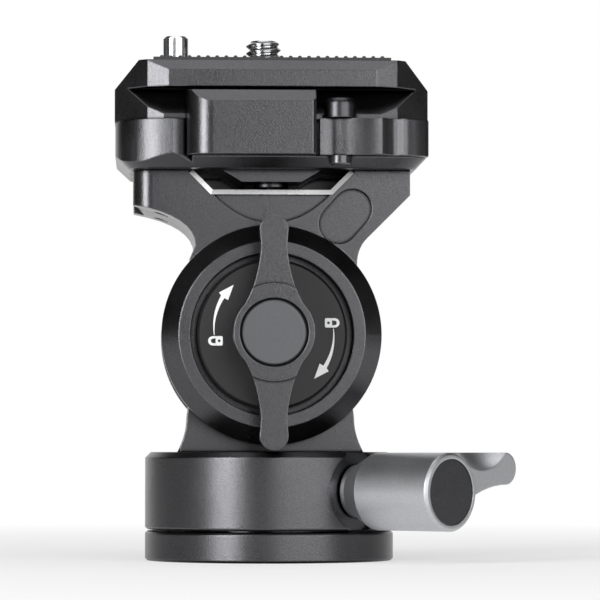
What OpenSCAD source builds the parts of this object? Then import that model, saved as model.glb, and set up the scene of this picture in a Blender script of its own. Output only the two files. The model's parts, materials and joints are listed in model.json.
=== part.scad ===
// Compact fluid video head: panning base, upright, tilting bracket,
// quick release clamp and camera plate. Millimetres, Z up, Y along the tilt axis,
// -Y towards the tilt lock lever. The origin is the middle of the base's underside.

/* [Base] */
// Radius of the base and of the panning housing
base_r = 22; // [20:0.5:26]
// Height of the fixed base plate
base_h = 5.2; // [5:0.1:7]
// Gap between the base plate and the panning housing
pan_gap = 0.3; // [0.2:0.05:0.6]
// Height of the panning housing
pan_h = 13.6; // [13:0.2:16]
// Chamfer round the top of the panning housing
pan_chamfer = 1; // [0.4:0.1:1.6]
// Chamfer on other outer edges
edge_chamfer = 0.4; // [0.2:0.1:0.6]
// Minor radius of the 3/8 inch tripod thread
tripod_thread_r = 4; // [3.9:0.05:4.1]
// Depth of the tripod thread
tripod_thread_depth = 7; // [5:0.5:7.5]

/* [Pan bearing] */
// Outer radius of the threaded tripod insert
insert_r = 6.2; // [5.5:0.1:6.6]
// Radius of the pan spindle's shaft
spindle_r = 9; // [8.4:0.1:9.4]
// Radius of the pan spindle's flange
spindle_flange_r = 15; // [14.5:0.1:15.5]
// Radius of the upright's screws
foot_screw_r = 1.25; // [1:0.05:1.4]
// Thickness of the cover over the spindle's well
well_cover_t = 1.2; // [1:0.1:1.3]
// Thickness of the pan spindle's flange
spindle_flange_t = 1.8; // [1.4:0.1:2.2]
// Wall of the pan bush
pan_bush_wall = 1.6; // [1.2:0.1:2]
// Height of the pan bush and the web that holds it
pan_bush_h = 7.4; // [7.4:0.1:7.6]
// Thickness of a grease damped slip washer
slip_washer_t = 0.6; // [0.4:0.1:0.8]
// Height of the spindle's ring nut
spindle_nut_h = 1.6; // [1.4:0.1:1.7]
// Radial clearance of a running fit
running_gap = 0.05; // [0.02:0.01:0.09]
// Clearance beside parts that don't guide each other
side_gap = 0.4; // [0.3:0.05:0.6]

/* [Pan lock] */
// Angle of the pan lock from straight ahead towards +X
pan_lock_angle = 45; // [40:1:50]
// Height of the pan lock's axis
pan_lock_z = 12.3; // [12:0.1:12.6]
// Radius of the pan lock's silver barrel
barrel_r = 6.7; // [6:0.1:6.9]
// Distance of the barrel's outer face from the pan axis
barrel_out = 42.3; // [40:0.1:46]
// Length of the barrel's full cylinder
barrel_len = 16.2; // [15:0.1:18]
// Radius at the small end of the barrel's taper
barrel_nose_r = 4.6; // [4:0.1:5]
// Radius of the dark disc in the barrel's end
barrel_disc_r = 5.65; // [5:0.05:5.9]
// Reach of the lock's wing from the barrel's axis
wing_reach = 22; // [18:0.5:26]
// Thickness of the wing at its tip
wing_tip_t = 5.6; // [4.6:0.1:6]
// Width of the wing along the barrel
wing_w = 8.6; // [7:0.1:10]
// Radius of the thumb scoop in the wing's near edge
scoop_r = 9; // [8:0.5:11]
// Height of the scoop's middle above the wing
scoop_rise = 5; // [4.5:0.1:6]
// Distance of the scoop's middle beyond the wing's near face
scoop_out = 4; // [3:0.1:5]
// Radius of the pan lock's stud
stud_r = 2.5; // [2.2:0.1:2.6]
// Length of the brass shoe that presses on the spindle
shoe_len = 2.6; // [2:0.1:2.8]

/* [Upright] */
// Half width of the upright at its foot
foot_half_w = 16.3; // [15.5:0.1:17]
// Half width of the upright at its waist
waist_half_w = 14.65; // [14.2:0.05:15]
// Height of the waist above the housing
waist_rise = 6.1; // [5:0.1:7]
// Thickness of the upright along the tilt axis
upright_t = 16; // [14:0.2:18]
// Chamfer down the upright's corners
upright_chamfer = 1.3; // [0.8:0.1:1.6]
// Height of the tilt axis above the base's underside
tilt_z = 39.5; // [39:0.1:41]

/* [Tilt drum] */
// Radius of the tilting drum
drum_r = 19.2; // [18.8:0.1:19.6]
// Depth and height of the bevel round the drum's face
drum_bevel = 3; // [2:0.1:3.4]
// Thickness of each of the bracket's cheeks
cheek_t = 4.7; // [4:0.1:5.5]
// Gap between the upright and a cheek, which a slip washer fills
cheek_gap = 0.5; // [0.4:0.05:0.7]
// Angle of the gap's edge on the right, above the horizontal
fork_slope = 35; // [34:0.5:36]
// Radius of the recess in the drum's face
drum_recess_r = 14.2; // [13.8:0.05:14.5]
// Depth of the recess in the drum's face
drum_recess_d = 4; // [3.4:0.1:4.4]
// Radius of the dial in the recess
dial_r = 13; // [12.4:0.05:13.4]
// Radius of the tilt shaft
tilt_shaft_r = 5; // [4.6:0.1:5.6]
// Wall of the bushes on the tilt shaft
tilt_bush_wall = 1.2; // [1:0.1:1.6]
// Radius of the threaded end of the tilt shaft
shaft_thread_r = 3; // [2.5:0.1:3.5]

/* [Tilt lock lever] */
// Radius of the lever's hub
hub_r = 6.95; // [6.6:0.05:7.4]
// Reach of each of the lever's arms
arm_reach = 20.1; // [19:0.1:21]
// Half width of an arm at its narrowest
arm_neck_half = 2.2; // [1.9:0.05:2.6]
// Half width of an arm near its tip
arm_tip_half = 2.45; // [2.2:0.05:2.8]
// Height of the hub above the dial
hub_h = 10; // [8:0.1:11]
// Thickness of the arms
arm_t = 6.5; // [5:0.1:7.5]
// Step from the raised middle down to the arms
hub_step = 0.7; // [0.4:0.1:1.2]
// Radius of the lever's round cap
lever_cap_r = 5.5; // [5:0.05:5.8]

/* [Bracket] */
// Half length of the bracket's platform
bracket_half_l = 24.2; // [23:0.1:25.5]
// Height of the platform's seat above the tilt axis
seat_rise = 28.8; // [28:0.1:30]
// Height of the platform's underside corner on the left above the tilt axis
left_corner_rise = 22.7; // [22:0.1:24]
// Height of the platform's underside corner on the right above the tilt axis
right_corner_rise = 24.4; // [23.5:0.1:25.5]
// Half width of the bracket's neck on the left
neck_left = 13.3; // [12.8:0.1:14]
// Half width of the bracket's neck on the right
neck_right = 14.9; // [14:0.1:15.4]
// Height of the neck above the tilt axis
neck_rise = 15.6; // [15:0.1:16.5]
// Depth of the channel across the seat
channel_d = 3.5; // [3.4:0.1:4]
// Half width of the channel's floor
channel_half_w = 10.3; // [9.5:0.1:11]
// Chamfer along the channel's front edge
channel_chamfer = 0.8; // [0.5:0.05:1]
// Radius of the rounded upright corner on the left
corner_round_r = 3.4; // [2.5:0.1:4]
// Minor radius of the M8 pan handle thread
handle_thread_r = 3.4; // [3.3:0.05:3.5]
// Depth of the pan handle thread
handle_thread_depth = 6; // [5:0.1:7]
// Angle of the handle's axis from straight up
handle_lean = 135; // [134:0.5:136]
// Half width of the angled pocket beside the drum
pocket_r = 3.5; // [3:0.1:3.8]
// Depth of shallow pockets in the bracket's face
pocket_d = 0.9; // [0.5:0.05:1]

/* [Clamp] */
// Overhang of the camera plate past each end of the clamp
plate_overhang = 0.1; // [0:0.05:0.4]
// Half width of the clamp's base across the tilt axis
clamp_half_w = 20.2; // [19.8:0.1:21]
// Thickness of the clamp's base
clamp_h = 8.3; // [8:0.1:9]
// Chamfer under the clamp's base
clamp_under_chamfer = 2.4; // [1:0.1:2.6]
// How much shorter than that a hook's tip is
hook_back = 0.9; // [0.3:0.1:1.2]
// Width of the front jaw along X
jaw_w = 22.2; // [21:0.1:22.4]
// Place of the front jaw's middle along X
jaw_x = -3.8; // [-4.2:0.1:-3.8]
// Distance of the front jaw's face from the tilt bracket's middle
jaw_front = 24.4; // [24:0.1:25.5]
// Height of the front jaw
jaw_h = 11.2; // [10.5:0.1:11.6]
// Bevel along the top of the front jaw
jaw_bevel = 2.1; // [1.4:0.1:2.5]
// Travel of the front jaw as the clamp opens
jaw_travel = 2; // [1:0.1:2]
// Distance from the jaw to the crest of the clamp's bulging left half
bulge_crest = 2.4; // [2:0.1:3]
// Place of the clamp lever's pivot along X
lever_pivot_x = 11.6; // [11.2:0.1:12.2]
// Radius of the clamp lever's boss
lever_boss_r = 3.6; // [3.4:0.1:3.7]
// Height of the clamp lever
lever_h = 6.4; // [6:0.1:6.8]
// Reach of the clamp lever from its pivot
lever_reach = 15.4; // [14:0.1:16]
// Radius of the clamp lever's pivot pin
lever_pin_r = 1.15; // [1:0.05:1.3]

/* [Camera plate] */
// Half length of the camera plate
plate_half_l = 27.4; // [25:0.1:30]
// Half width across the dovetail's lips
dovetail_half_w = 19; // [19:0.05:19.2]
// How far the clamp's hooks could reach over the dovetail
undercut = 3.2; // [3:0.05:3.4]
// Height of the dovetail's lip
lip_h = 0.9; // [0.7:0.05:1.1]
// Height from the plate's underside to its flange
dovetail_h = 5.7; // [5.5:0.05:6]
// Thickness of the plate's flange
flange_h = 4.8; // [4.4:0.05:5.2]
// Rise of the bevel along the plate's top edges
plate_bevel = 1.9; // [1:0.1:2.2]
// Run of the long slope at each end of the plate
end_slope = 4.2; // [3:0.1:4.6]
// Run of the slanting faces at the plate's corners
plate_corner = 5.7; // [4.5:0.1:6]
// Width of the narrow facets between those faces and the long sides
facet_w = 3.7; // [3:0.1:4.5]
// Depth of the narrow facets
facet_d = 1.7; // [1.2:0.1:2]
// Thickness of the plate's grip pad
pad_t = 1.1; // [0.9:0.05:1.3]
// Spacing of the grip pad's ribs
rib_pitch = 1.6; // [1.4:0.1:2]
// Radius of the camera screw's quarter inch thread
camera_screw_r = 3.15; // [3.1:0.01:3.17]
// Height of the camera screw above the plate
camera_screw_rise = 5.2; // [4.5:0.1:5.5]
// Place of the camera screw along X
camera_screw_x = -1; // [-2:0.1:1]
// Radius of the spring loaded locating pin
locating_pin_r = 2.25; // [2.2:0.01:2.3]
// Height of the locating pin above the plate
locating_pin_rise = 6; // [5:0.1:6.2]
// Distance from the camera screw to the locating pin
locating_pin_offset = 15.7; // [15:0.1:18]
// Travel of the locating pin when it is pressed in
locating_pin_travel = 3; // [2:0.1:3]

/* [Hidden] */
$fn = 96;
// Overrun of every cut past the face it opens
cut = 1;
clamp_half_l = plate_half_l - plate_overhang;
clamp_hole_h = seat_rise - left_corner_rise + channel_d / 2;
housing_z = base_h + pan_gap;
housing_top = housing_z + pan_h;
flange_top = base_h + spindle_flange_t;
web_z = flange_top + slip_washer_t;
web_top = web_z + pan_bush_h;
pan_bush_r = spindle_r + running_gap + pan_bush_wall;
nut_z = web_top + slip_washer_t;
nut_top = nut_z + spindle_nut_h;
spindle_thread_r = spindle_r - slip_washer_t;
nut_r = pan_bush_r + slip_washer_t;
well_r = nut_r + side_gap;
cover_r = well_r + side_gap;
spot_face_l = base_r - edge_chamfer - pan_chamfer;
shaft_front = upright_t / 2 + cheek_gap + cheek_t;
drum_front = shaft_front + drum_bevel;
dial_back = drum_front - drum_recess_d + running_gap;
hub_back = drum_front + side_gap;
hub_front = hub_back + hub_h;
seat_z = tilt_z + seat_rise;
clamp_top = seat_z + clamp_h;
plate_z = clamp_top;
flange_z = plate_z + dovetail_h;
plate_top = flange_z + flange_h;
bush_r = tilt_shaft_r + running_gap + tilt_bush_wall;
M3_r = spindle_flange_t * 0.85;
M4_r = M3_r * 1.33;
pivot_y = -(dovetail_half_w + side_gap + lever_pin_r);
jaw_depth = jaw_front - dovetail_half_w + undercut;
lever_z = clamp_top - lever_h;
barrel_in = barrel_out - barrel_len;
lever_insert_r = shaft_thread_r + tilt_bush_wall;
arm_front = hub_front - hub_step;
pocket_ends = [[neck_right * 0.945, seat_rise * 0.767], [neck_right * 0.785, seat_rise * 0.674]];
handle_x = (bracket_half_l + neck_right + handle_thread_r / 2) / 2;
handle_z = tilt_z + right_corner_rise - (bracket_half_l - handle_x);
corner_r = clamp_half_w / 4;
under_top = seat_z + clamp_under_chamfer;
keel_low = seat_z - channel_d * 0.6;
keel_screw_y = -upright_t / 2;
jaw_z = lever_z;
jaw_back = dovetail_half_w - undercut - cheek_t;
lip_top = plate_z + lip_h;
neck_half_w = dovetail_half_w - (dovetail_h - lip_h);
slope_top = lip_top + undercut;
hook_tip = dovetail_half_w - undercut + running_gap + hook_back;
jaw_round = corner_r * 0.9;
relief_y = dovetail_half_w + running_gap + lip_h;
rear_y = clamp_half_w + jaw_bevel;
hook_top = flange_z - running_gap - side_gap * 2;
screw_head_r = camera_screw_r * 2.2;
head_z = plate_z + slip_washer_t;
head_t = spindle_flange_t;
pin_x = camera_screw_x - locating_pin_offset;
collar_r = locating_pin_r * 1.5;
plug_t = spindle_flange_t / 2;
pin_room_top = plate_top - flange_h / 2;
collar_t = spindle_flange_t;
pad_half_l = plate_half_l - end_slope * 1.6;
pad_half_w = dovetail_half_w - plate_bevel - side_gap;

// A disc lying flat, with its underside at z
module disc(r, h, z = 0) {
    translate([0, 0, z]) cylinder(r = r, h = h);
}

// A solid of revolution about the tilt axis: points are [radius, distance towards -Y]
module turned(points) {
    translate([0, 0, tilt_z]) rotate([90, 0, 0]) rotate_extrude() polygon(points);
}

// A ring about the tilt axis from y0 to y1, distances towards -Y
module tilt_ring(r0, r1, y0, y1) {
    turned([[r0, y0], [r1, y0], [r1, y1], [r0, y1]]);
}

// A flat outline in X and Z, given thickness from y0 to y1 towards -Y
module upright_slab(y0, y1) {
    translate([0, -y0, 0]) rotate([90, 0, 0]) linear_extrude(y1 - y0) children();
}

// Copies at equal angles round the pan axis
module round_copies(n, r, first = 0) {
    for (i = [0 : n - 1]) rotate(first + i * 360 / n) translate([r, 0, 0]) children();
}

// Moves a solid drawn along +Z onto the pan lock's axis
module at_pan_lock() {
    translate([0, 0, pan_lock_z]) rotate(pan_lock_angle - 90) rotate([0, 90, 0]) children();
}

module spindle_screw_at(n = 3) {
    round_copies(n, (spindle_r + spindle_flange_r) / 2, 90) children();
}

module base_plate() {
    color("#26272a") difference() {
        rotate_extrude() polygon([[0, 0], [base_r - edge_chamfer, 0], [base_r, edge_chamfer],
            [base_r, base_h - edge_chamfer], [base_r - edge_chamfer, base_h], [0, base_h]]);
        disc(insert_r, base_h + 2 * cut, -cut);
        spindle_screw_at() {
            disc(M3_r + running_gap, base_h + 2 * cut, -cut);
            disc(2 * M3_r, base_h / 2, 0);
            disc(2 * M3_r, cut, -cut);
        }
    }
}

module tripod_insert() {
    color("#c9a24a") difference() {
        disc(insert_r, tripod_thread_depth + slip_washer_t, 0);
        disc(tripod_thread_r, tripod_thread_depth + cut, -cut);
    }
}

module pan_spindle() {
    blind = tripod_thread_depth + slip_washer_t;
    color("#9a9ca0") difference() {
        union() {
            disc(spindle_flange_r, spindle_flange_t, base_h);
            disc(spindle_r, web_top - base_h, base_h);
            disc(spindle_thread_r, nut_top - base_h, base_h);
        }
        disc(insert_r, blind - base_h + cut, base_h - cut);
        spindle_screw_at() disc(M3_r, spindle_flange_t + 2 * cut, base_h - cut);
    }
}

module spindle_screws() {
    color("#3a3b3d") spindle_screw_at() difference() {
        union() {
            disc(M3_r, flange_top - slip_washer_t / 2, 0);
            disc(2 * M3_r - side_gap, base_h / 2 - slip_washer_t, slip_washer_t);
        }
        disc(M3_r, slip_washer_t, 0);
        translate([0, 0, -cut]) cylinder(r = M3_r / 2, h = base_h / 2 + cut, $fn = 6);
    }
}

module spindle_nut() {
    color("#8d8f93") difference() {
        disc(nut_r, spindle_nut_h, nut_z);
        disc(spindle_thread_r, spindle_nut_h + 2 * cut, nut_z - cut);
        round_copies(4, nut_r) cube([2 * M3_r, M3_r, 3 * nut_top], center = true);
    }
}

module pan_housing() {
    color("#232427") difference() {
        rotate_extrude() polygon([[0, housing_z], [base_r - edge_chamfer, housing_z],
            [base_r, housing_z + edge_chamfer], [base_r, housing_top - pan_chamfer],
            [base_r - pan_chamfer, housing_top], [0, housing_top]]);
        disc(spindle_flange_r + side_gap, web_z - housing_z + cut, housing_z - cut);
        disc(pan_bush_r, pan_h, web_z - cut);
        disc(well_r, pan_h, web_top);
        disc(cover_r, well_cover_t + cut, housing_top - well_cover_t);
        at_pan_lock() {
            translate([0, 0, spot_face_l]) cylinder(r = barrel_r + side_gap, h = base_r);
            cylinder(r = stud_r, h = base_r);
        }
        upright_screw_at() {
            disc(foot_screw_r, housing_top, web_z);
            disc(foot_screw_r * 1.7, web_z + foot_screw_r + slip_washer_t - housing_z + cut,
                housing_z - cut);
        }
    }
}

// The upright's screws stand beside the well, out of the pan lock's way
module upright_screw_at() {
    for (x = [-1, 1], y = [-1, 1])
        translate([x * (cover_r + foot_screw_r + side_gap / 2), y * upright_t * 0.28, 0]) children();
}

module pan_bush() {
    color("#b98a3c") difference() {
        disc(pan_bush_r, pan_bush_h, web_z);
        disc(spindle_r + running_gap, pan_bush_h + 2 * cut, web_z - cut);
        at_pan_lock() cylinder(r = stud_r, h = base_r);
    }
}

// Closes the housing over the ring nut, under the upright
module well_cover() {
    color("#1d1e20") disc(cover_r - running_gap, well_cover_t, housing_top - well_cover_t);
}

module slip_washer(r0, r1, z) {
    color("#e9e6da") difference() {
        disc(r1, slip_washer_t, z);
        disc(r0, slip_washer_t + 2 * cut, z - cut);
    }
}

module lower_slip_washer() {
    slip_washer(spindle_r + side_gap, spindle_flange_r, flange_top);
}

module upper_slip_washer() {
    slip_washer(spindle_r + side_gap, nut_r, web_top);
}

module pan_lock_shoe() {
    start = spindle_r + running_gap;
    color("#c49a45") difference() {
        at_pan_lock() cylinder(r = stud_r - running_gap, h = start + shoe_len);
        disc(start, housing_top, 0);
    }
}

module pan_lock_stud() {
    start = spindle_r + running_gap + shoe_len;
    color("#8f9194") at_pan_lock() translate([0, 0, start])
        cylinder(r = stud_r - running_gap, h = barrel_out - barrel_len - start);
}

// The barrel with its tapered nose and the recess for its disc, along +Z
module barrel() {
    nose_l = barrel_in - (barrel_r - barrel_nose_r) * 2;
    seat_l = spot_face_l + side_gap;
    rotate_extrude() polygon([[0, seat_l], [barrel_nose_r, seat_l], [barrel_nose_r, nose_l],
        [barrel_r, barrel_in], [barrel_r, barrel_out - edge_chamfer],
        [barrel_r - edge_chamfer, barrel_out], [barrel_disc_r, barrel_out],
        [barrel_disc_r, barrel_out - edge_chamfer], [0, barrel_out - edge_chamfer]]);
}

// The wing's outline: a tangent along the top and a hollow curve below
module wing_outline() {
    steps = 10;
    low = [for (i = [0 : steps]) let (s = i / steps)
        [barrel_r * 0.5 + s * (wing_reach - wing_tip_t / 2 - barrel_r * 0.5),
            -barrel_r * 0.75 * (1 - s) * (1 - s) + (barrel_r - wing_tip_t) * (1 - (1 - s) * (1 - s))]];
    polygon(concat([[0, barrel_r]], [[0, -barrel_r * 0.75]], low,
        [[wing_reach - wing_tip_t / 2, barrel_r]]));
    translate([wing_reach - wing_tip_t / 2, barrel_r - wing_tip_t / 2]) circle(wing_tip_t / 2);
}

module pan_lock_lever() {
    wing_start = (barrel_in + barrel_out - wing_w) / 2;
    color("#c3c4c6") difference() {
        at_pan_lock() union() {
            barrel();
            translate([0, 0, wing_start]) rotate(90) linear_extrude(wing_w) wing_outline();
        }
        at_pan_lock() cylinder(r = stud_r - running_gap, h = barrel_in);
        at_pan_lock() translate([-barrel_r - scoop_rise, wing_reach * 0.58, wing_start + wing_w + scoop_out])
            sphere(r = scoop_r);
    }
}

module pan_lock_disc() {
    color("#303134") at_pan_lock() translate([0, 0, barrel_out - edge_chamfer])
        cylinder(r = barrel_disc_r, h = edge_chamfer * 0.75);
}

// The upright seen from the front: a flared foot, a waist and a round eye
module upright_outline() {
    steps = 8;
    side = [for (i = [0 : steps]) let (s = i / steps)
        [waist_half_w + (foot_half_w - waist_half_w) * (1 - s) * (1 - s), housing_top + s * waist_rise]];
    shoulder = [waist_half_w * 0.985, tilt_z - waist_half_w * 0.85];
    eye = waist_half_w;
    polygon(concat(side, [shoulder, [eye * 0.8, tilt_z - eye * 0.6]],
        [[-eye * 0.8, tilt_z - eye * 0.6], [-shoulder[0], shoulder[1]]],
        [for (i = [steps : -1 : 0]) [-side[i][0], side[i][1]]]));
    translate([0, tilt_z]) circle(eye);
}

module upright() {
    half_t = upright_t / 2;
    color("#2b2c2f") difference() {
        upright_slab(-half_t, half_t) upright_outline();
        tilt_ring(0, tilt_shaft_r, -half_t - cut, half_t + cut);
        upright_screw_at() disc(foot_screw_r, waist_rise / 2 + cut, housing_top - cut);
        for (side = [-1, 1], face = [-1, 1])
            translate([side * (foot_half_w + upright_chamfer), face * half_t, tilt_z / 2])
                rotate(side * face * 45)
                    cube([2 * upright_chamfer, 2 * upright_chamfer + foot_half_w - waist_half_w,
                        2 * tilt_z], center = true);
    }
}

module upright_screws() {
    head_z = web_z + slip_washer_t;
    color("#3a3b3d") upright_screw_at() {
        disc(foot_screw_r, housing_top + waist_rise / 2 - head_z, head_z);
        disc(foot_screw_r * 1.65, foot_screw_r, head_z);
    }
}

module tilt_shaft() {
    color("#a5a7aa") difference() {
        union() {
            tilt_ring(0, tilt_shaft_r, -shaft_front, dial_back);
            tilt_ring(0, shaft_thread_r, dial_back, hub_front - hub_h / 3);
        }
        tilt_ring(0, M4_r / 2, -shaft_front - cut, -shaft_front + cheek_t);
    }
}

module tilt_nut() {
    back = -shaft_front - slip_washer_t;
    color("#8d8f93") {
        tilt_ring(0, tilt_shaft_r * 1.5, back - 2 * slip_washer_t, back);
        tilt_ring(0, M4_r / 2, back, -shaft_front + cheek_t);
    }
}

module tilt_bushes() {
    color("#b98a3c") for (face = [-1, 1]) {
        inner = face * (upright_t / 2 + cheek_gap);
        outer = face > 0 ? dial_back - 2 * running_gap : -shaft_front;
        tilt_ring(tilt_shaft_r + running_gap, bush_r, min(inner, outer), max(inner, outer));
    }
}

module tilt_slip_washers() {
    color("#e9e6da") for (face = [-1, 1]) {
        near = face * upright_t / 2;
        far = face * (upright_t / 2 + cheek_gap);
        tilt_ring(tilt_shaft_r + side_gap, waist_half_w - side_gap, min(near, far), max(near, far));
    }
    color("#e9e6da")
        tilt_ring(tilt_shaft_r + side_gap, tilt_shaft_r * 1.5, -shaft_front - slip_washer_t, -shaft_front);
}

module tilt_dial() {
    front = drum_front + running_gap;
    color("#17181a") turned([[shaft_thread_r + side_gap, dial_back], [dial_r, dial_back],
        [dial_r, front - edge_chamfer], [dial_r - edge_chamfer, front],
        [shaft_thread_r + side_gap, front]]);
}

// Points of a quadratic curve from a to c that leaves towards b
function bend(a, b, c, steps = 8) = [for (i = [0 : steps]) let (s = i / steps)
    (1 - s) * (1 - s) * a + 2 * s * (1 - s) * b + s * s * c];

// One side of an arm's outline, from the hub out to the tip
function arm_side() = concat(
    bend([hub_r * 0.45, hub_r * 0.89], [hub_r * 1.05, hub_r * 0.4], [arm_reach * 0.73, arm_neck_half]),
    [[arm_reach - arm_tip_half, arm_tip_half]]);

module arm_outline() {
    side = arm_side();
    for (way = [-1, 1]) {
        polygon(concat([[0, 0]], [for (p = side) [p[1], way * p[0]]],
            [for (i = [len(side) - 1 : -1 : 0]) [-side[i][1], way * side[i][0]]]));
        translate([0, way * (arm_reach - arm_tip_half)]) circle(arm_tip_half);
    }
}

module tilt_lever() {
    color("#3b3c3f") difference() {
        union() {
            translate([0, 0, tilt_z]) upright_slab(arm_front - arm_t, arm_front) arm_outline();
            tilt_ring(0, hub_r, hub_back, arm_front - hub_step);
            intersection() {
                tilt_ring(0, hub_r * 1.2, hub_back, hub_front);
                translate([0, 0, tilt_z]) upright_slab(hub_back, hub_front) arm_outline();
            }
            tilt_ring(0, hub_r, arm_front - arm_t, hub_front);
        }
        tilt_ring(0, lever_insert_r, hub_back - cut, hub_front - hub_h / 4);
        tilt_ring(lever_cap_r + side_gap, lever_cap_r, hub_front - hub_step / 2, hub_front + cut);
        tilt_ring(0, lever_cap_r + side_gap, hub_front - hub_step, hub_front + cut);
    }
}

module tilt_lever_insert() {
    color("#b98a3c")
        tilt_ring(shaft_thread_r + running_gap, lever_insert_r, hub_back, hub_front - hub_h / 4);
}

module tilt_lever_cap() {
    top = hub_front + hub_step / 4;
    color("#6c6d70") turned([[0, hub_front - hub_step], [lever_cap_r, hub_front - hub_step],
        [lever_cap_r, top - edge_chamfer / 2], [lever_cap_r - edge_chamfer / 2, top], [0, top]]);
}

// The bracket seen from the front, measured from the tilt axis
module bracket_outline() {
    slope_end = neck_right + (right_corner_rise - neck_rise) * 0.2;
    right = concat([[bracket_half_l, seat_rise], [bracket_half_l, right_corner_rise]],
        bend([slope_end, right_corner_rise - (bracket_half_l - slope_end)],
            [neck_right, neck_rise * 0.97], [neck_right, neck_rise * 0.78]));
    left = bend([-bracket_half_l, left_corner_rise],
        [-neck_left, left_corner_rise - neck_rise * 0.13], [-neck_left, neck_rise]);
    polygon(concat(right, [[0, 0]], [[-neck_left * 1.08, neck_rise * 0.84]],
        [for (i = [len(left) - 1 : -1 : 0]) left[i]], [[-bracket_half_l, seat_rise]]));
    circle(drum_r);
}

// Where the upright turns between the cheeks
module fork_gap_outline() {
    far = 2 * seat_rise;
    circle(waist_half_w + side_gap);
    polygon([[0, 0], [far, far * tan(fork_slope)], [far, -far], [-far, -far], [-far, far]]);
}

module channel_outline() {
    rise = seat_rise + cut;
    polygon([[-channel_half_w, seat_rise - channel_d], [channel_half_w, seat_rise - channel_d],
        [channel_half_w + channel_d + cut, rise], [-channel_half_w - channel_d - cut, rise]]);
}

// Corners of the channel's edge in the front face, from left to right
function channel_edge() = [[-channel_half_w - channel_d, seat_rise],
    [-channel_half_w, seat_rise - channel_d], [channel_half_w, seat_rise - channel_d],
    [channel_half_w + channel_d, seat_rise]];

// The bright chamfer along the channel's front edge
module channel_edge_cut() {
    side = channel_chamfer * sqrt(2);
    for (i = [0 : 2]) let (p = channel_edge()[i], run = channel_edge()[i + 1] - p)
        translate([p[0], -shaft_front, p[1]]) rotate([0, -atan2(run[1], run[0]), 0])
            translate([norm(run) / 2, 0, 0]) rotate([45, 0, 0])
                cube([norm(run) + side / 2, side, side], center = true);
}

module bowl_outline() {
    floor_z = seat_rise - channel_d + cut;
    low = drum_r * 1.02;
    right = bend([channel_half_w * 1.15, floor_z], [channel_half_w * 0.62, low], [0, low]);
    polygon(concat(right, [for (i = [len(right) - 2 : -1 : 0]) [-right[i][0], right[i][1]]]));
}

module at_clamp_screws() {
    for (x = [-1, 1], y = [-1, 1])
        translate([x * (channel_half_w + bracket_half_l + channel_d) / 2, y * cheek_t * 1.5, 0]) children();
}

module bracket() {
    half_t = shaft_front;
    floor_y = drum_front - drum_recess_d;
    color("#2a2b2e") translate([0, 0, tilt_z]) difference() {
        union() {
            upright_slab(-half_t, half_t) bracket_outline();
            for (back = [0, 180]) rotate([90, 0, back]) translate([0, 0, half_t])
                rotate_extrude() polygon([[drum_recess_r, 0], [drum_r, 0],
                    [drum_r - drum_bevel, drum_bevel], [drum_recess_r, drum_bevel]]);
        }
        upright_slab(-upright_t / 2 - cheek_gap, upright_t / 2 + cheek_gap) fork_gap_outline();
        upright_slab(-upright_t / 2 - cheek_gap, half_t + cut) channel_outline();
        channel_edge_cut();
        upright_slab(half_t - pocket_d, half_t + cut) bowl_outline();
        upright_slab(half_t - pocket_d, half_t + cut) pocket_outline();
        translate([0, 0, -tilt_z]) {
            tilt_ring(0, drum_recess_r, floor_y, drum_front + cut);
            tilt_ring(0, drum_recess_r, -drum_front - cut, -shaft_front);
            tilt_ring(0, bush_r, -half_t - cut, half_t + cut);
            cover_screw_at() tilt_ring(0, M3_r / 2, -shaft_front - cut, -shaft_front + cheek_t / 2);
        }
        translate([0, 0, -tilt_z]) {
            translate([handle_x, 0, handle_z]) rotate([0, handle_lean, 0])
                translate([0, 0, -handle_thread_depth])
                    cylinder(r = handle_thread_r, h = 3 * handle_thread_depth);
            at_clamp_screws() disc(M3_r, clamp_hole_h + cut, seat_z - clamp_hole_h);
        }
        left_round_cut();
    }
}

// Rounds the platform's front corner on the left
module left_round_cut() {
    r = corner_round_r;
    translate([-bracket_half_l, -shaft_front, 0]) difference() {
        translate([-cut, -cut, 0]) cube([r + cut, r + cut, seat_rise + cut]);
        translate([r, r, -cut]) cylinder(r = r, h = seat_rise + 3 * cut);
    }
}

// A slot with two round ends, as one outline
module pocket_outline() {
    steps = 12;
    run = pocket_ends[0] - pocket_ends[1];
    lie = atan2(run[1], run[0]);
    polygon([for (side = [0, 1], i = [0 : steps]) let (a = lie - 90 + side * 180 + i * 180 / steps)
        pocket_ends[side] + pocket_r * [cos(a), sin(a)]]);
}

module cover_screw_at() {
    ring = (drum_recess_r + tilt_shaft_r * 1.5) / 2 + M3_r / 2;
    for (a = [90, 210, 330]) translate([ring * cos(a), 0, ring * sin(a)]) children();
}

module rear_cover() {
    rim = M3_r * 1.6;
    color("#232427") difference() {
        turned([[0, -drum_front], [drum_recess_r - running_gap, -drum_front],
            [drum_recess_r - running_gap, -shaft_front], [drum_recess_r - rim * 1.9, -shaft_front],
            [drum_recess_r - rim * 1.9, -drum_front + slip_washer_t], [0, -drum_front + slip_washer_t]]);
        cover_screw_at() {
            tilt_ring(0, M3_r / 2, -drum_front - cut, -shaft_front + cut);
            tilt_ring(0, M3_r, -drum_front - cut, -drum_front + M3_r / 2);
        }
    }
}

module rear_cover_screws() {
    color("#3a3b3d") cover_screw_at() {
        tilt_ring(0, M3_r / 2, -drum_front, -shaft_front + cheek_t / 2);
        tilt_ring(0, M3_r * 0.94, -drum_front + running_gap, -drum_front + M3_r / 2);
    }
}

// A rectangle with round corners, drawn about the pan axis
module round_plan(half_l, half_w, r) {
    square([2 * half_l, 2 * (half_w - r)], center = true);
    square([2 * (half_l - r), 2 * half_w], center = true);
    for (x = [-1, 1], y = [-1, 1]) translate([x * (half_l - r), y * (half_w - r)]) circle(r);
}

// A profile in Y and Z, given length along X
module along_x(x0, x1) {
    translate([x0, 0, 0]) rotate([90, 0, 90]) linear_extrude(x1 - x0) children();
}

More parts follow.
